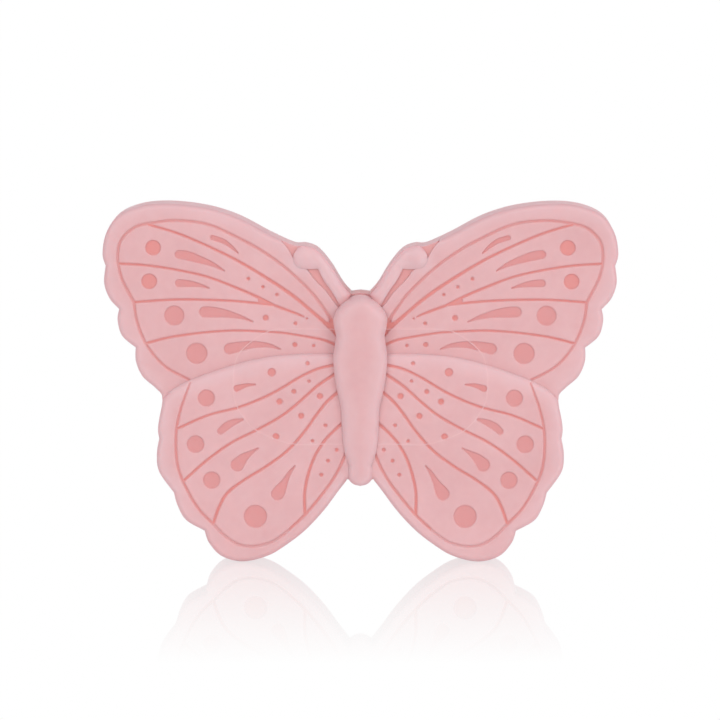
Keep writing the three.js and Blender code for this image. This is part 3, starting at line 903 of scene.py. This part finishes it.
body = {
    "runs": [  # plan curve, then how far the rounded edge runs in and how far it drops
        ([(0, 43.65), (1.3, 43.4), (2.7, 42.5), (3.85, 41.3)], 1.5, 2.2),
        ([(3.85, 41.3), (4.4, 39.9), (4.3, 38.5), (4, 37.1), (4.15, 35.8), (4.4, 34.2)], 1.4, 2.0),
        ([(4.4, 34.2), (4.4, 32.4), (4.2, 30.4), (3.85, 28.3), (3.35, 26.2), (3.12, 24.6), (3.1, 22.8),
          (2.95, 20.4)], 1.2, 1.3),
        ([(2.95, 20.4), (2.65, 18.2), (2.25, 16.8), (1.95, 15.9)], 1.0, 0.9),
        ([(1.95, 15.9), (2.05, 14.6), (1.85, 13.5), (1.1, 12.75), (0, 12.5)], 0.9, 0.8),
    ],
    "crown": 0.5,
    "narrowest": 0.05,
    "headFrom": 42,
    "headDrop": 0.6,
    "headRound": 1.3,
    "unevenness": (0.03, 4.0, 9.0),  # height, size and seed
    "grid": 0.24,
    # painted sheen spreading in from the body's outline
    "paintedGlows": [("body", 3.2, 0.6)],
    "heights": [(12.5, -1.3), (15, -1.1), (16.2, -1), (19, -0.7), (24, -0.35), (30, -0.1), (44, 0)],
}


def bodyOutline():
    half = joinRuns(body["runs"])
    points, inset, drop = body["runs"][-1]
    return mirrored(np.vstack([half, [(*points[-1], inset, drop)]]))


def makeBody(outline):
    along, offsets = zip(*body["heights"])
    right = outline[outline[:, 0] >= 0]
    order = np.argsort(right[:, 1])
    rise, size, seed = body["unevenness"]

    def shape(plan, depth, height):
        width = np.maximum(np.interp(plan[:, 1], right[order, 1], right[order, 0]), body["narrowest"])
        across = np.clip(np.abs(plan[:, 0]) / width, 0, 1)
        crown = body["crown"] * (1 - across**2)
        head = np.clip((plan[:, 1] - body["headFrom"]) / body["headRound"], 0, 1)
        level = np.interp(plan[:, 1], along, offsets) - body["headDrop"] * head**2
        return height - body["crown"] + crown + level + rise * waves(plan, 1, size, seed)

    piece = reliefObject("bodyCore", outline, layers["plate"], layers["body"], shape, grid=body["grid"],
                         paintedGlows=tonesFrom(body["paintedGlows"], 1))
    return finished(piece, "body")


antenna = {
    "outer": [(1.6, 43.75), (2.9, 45.3), (4.9, 48.5), (7, 50.9), (8.6, 51.6), (9.6, 51.72)],
    "clubSide": [(9.6, 51.72), (10.15, 51.4), (10.6, 50.9), (10.95, 50.2), (11, 49.4), (10.7, 48.6),
                 (10.1, 48.1), (9.15, 47.93)],
    "clubFoot": [(9.15, 47.93), (8.2, 47.93), (6.95, 47.98)],
    "inner": [(6.95, 47.98), (6.45, 46.9), (5.85, 45.85), (5.1, 44.85), (4.45, 43.86), (3.85, 42.88),
              (3.45, 42.1)],
    "head": [(3.45, 42.1), (2.4, 41.5), (1.6, 43.75)],
    "wall": (0.8, 0.95),  # how far each kind of rounded edge runs in, and how far it drops
    "fold": (0.5, 0.4),
    "clubFold": (1.2, 0.6),
    "club": (9.3, 49.7, 1.75),  # x and z of its centre, and its radius
    "clubBase": 0.02,
    "clubTop": 11.3,
    "stalkHeight": 11.0,
    "stalkCrown": (0.25, 0.7),  # height and power of the stalk's round top
    "soft": 0.3,  # how gently the club runs into the stalk
    "grid": 0.2,
    # painted shade near the body, and painted sheen over the antenna
    "paintedCreases": [("body", 1.3, 0.6)],
    "paintedGlows": [("antenna", 5.0, 0.65)],
}


def antennaOutline():
    edges = {"outer": "wall", "clubSide": "clubFold", "clubFoot": "clubFold", "inner": "fold", "head": "fold"}
    return joinRuns([(antenna[run], *antenna[edge]) for run, edge in edges.items()])


def makeAntenna(sideName, side):
    cx, cz, radius = antenna["club"]
    base = layers["foreWing"] + antenna["clubBase"]
    soft = antenna["soft"]
    rise, power = antenna["stalkCrown"]

    def shape(plan, depth, height):
        away = np.hypot(plan[:, 0] - side * cx, plan[:, 1] - cz) / radius
        dome = base + (antenna["clubTop"] - base) * np.clip(1 - away**2, 0, 1)
        crown = height + rise * np.clip(depth, 0, 1) ** power
        blend = np.clip(0.5 + (dome - crown) / (2 * soft), 0, 1)
        return crown * (1 - blend) + dome * blend + soft * blend * (1 - blend)

    piece = reliefObject(f"antenna.{sideName}", antennaOutline() * (side, 1, 1, 1), layers["web"],
                         antenna["stalkHeight"] - rise, shape, grid=antenna["grid"],
                         paintedCreases=tonesFrom(antenna["paintedCreases"], side), paintedGlows=tonesFrom(antenna["paintedGlows"], side))
    return finished(piece, f"antenna_{sideName}")


foreLoop, hindLoop, bodyLoop = foreOutline(), hindOutline(), bodyOutline()
clubRun = antenna["clubSide"] + antenna["clubFoot"][1:] + antenna["inner"][1:]
loops = {
    "plate": plateLoop,
    "hind": hindLoop[:, :2],
    "body": bodyLoop[:, :2],
    "antenna": antennaOutline()[:, :2],
    "club": smoothRun(clubRun, mesh["edgeStep"]),
}
sides = {"right": 1, "left": -1}
for sideName, side in sides.items():
    makeWing(foreWing, foreLoop, sideName, side)
    makeWing(hindWing, hindLoop, sideName, side)
makeBackPlate(foreLoop[:, :2])
makeBody(bodyLoop)
print("wings, back plate and body made")
for sideName, side in sides.items():
    makeAntenna(sideName, side)
print("antennae made")


studio = {
    "sky": 1.0,
    "ambient": 0.55,  # how much of the sky lights the object
    "reflection": 0.39,
    "fade": 0.13,  # the reflection is gone this far in front of the object
    "floor": (6.0, 0.02),  # half its width, and its roughness
    "aim": (0, 0, 0.03),
    "lights": {
        "key": ((-0.45, -0.75, 0.45), 0.35, 2.9),
        "fill": ((0.55, -0.75, 0.3), 0.4, 2.3),
        "top": ((0.1, -0.28, 0.9), 0.5, 1.2),
        "back": ((0, 1, 0.1), 0.6, 3.2),
        "side": ((0.7, -0.15, 0.15), 0.3, 0.7),
    },
}


def makeFloor():
    data = bpy.data.meshes.new("floor")
    reach, roughness = studio["floor"]
    data.from_pydata([(-reach, -reach, 0), (reach, -reach, 0), (reach, reach, 0), (-reach, reach, 0)], [],
                     [(0, 1, 2, 3)])
    floor = bpy.data.objects.new("floor", data)
    bpy.context.scene.collection.objects.link(floor)
    material = bpy.data.materials.new("paleGloss")
    material.use_nodes = True
    material.node_tree.nodes.clear()
    graph = Graph(material.node_tree)
    where = graph.wire("ShaderNodeTexCoord", 3)
    y = graph.wire("ShaderNodeSeparateXYZ", 1, None, {0: where})
    share = graph.wire("ShaderNodeMapRange", 0, None, {
        "Value": y, "From Min": -studio["fade"], "From Max": 0.0,
        "To Min": 0.0, "To Max": studio["reflection"]})
    white = graph.wire("ShaderNodeEmission", 0, None, {"Color": (1, 1, 1, 1), "Strength": 1.0})
    gloss = graph.wire("ShaderNodeBsdfGlossy", 0, None, {"Color": (1, 1, 1, 1), "Roughness": roughness})
    blend = graph.wire("ShaderNodeMixShader", 0, None, {0: share, 1: white, 2: gloss})
    graph.node("ShaderNodeOutputMaterial", None, {"Surface": blend})
    data.materials.append(material)


def makeLight(name, stand, size, power):
    data = bpy.data.lights.new(name, "AREA")
    data.shape = "SQUARE"
    data.size = size
    data.energy = power
    light = bpy.data.objects.new(name, data)
    bpy.context.scene.collection.objects.link(light)
    light.location = stand
    light.visible_camera = light.visible_glossy = stand[1] < 0  # the one behind would show in the table
    light.rotation_euler = (Vector(studio["aim"]) - Vector(stand)).to_track_quat("-Z", "Y").to_euler()


def makeStudio():
    world = bpy.data.worlds.new("studio")
    bpy.context.scene.world = world
    world.use_nodes = True
    world.node_tree.nodes.clear()
    graph = Graph(world.node_tree)
    soft = graph.wire("ShaderNodeLightPath", "Is Diffuse Ray")
    strength = studio["sky"] - soft * (studio["sky"] - studio["ambient"])
    sky = graph.wire("ShaderNodeBackground", 0, None, {"Color": (1, 1, 1, 1), "Strength": strength})
    graph.node("ShaderNodeOutputWorld", None, {"Surface": sky})
    for name, (stand, size, power) in studio["lights"].items():
        makeLight(name, stand, size, power)
    bpy.context.scene.view_settings.view_transform = "Standard"


makeFloor()
makeStudio()
print("floor and light made")
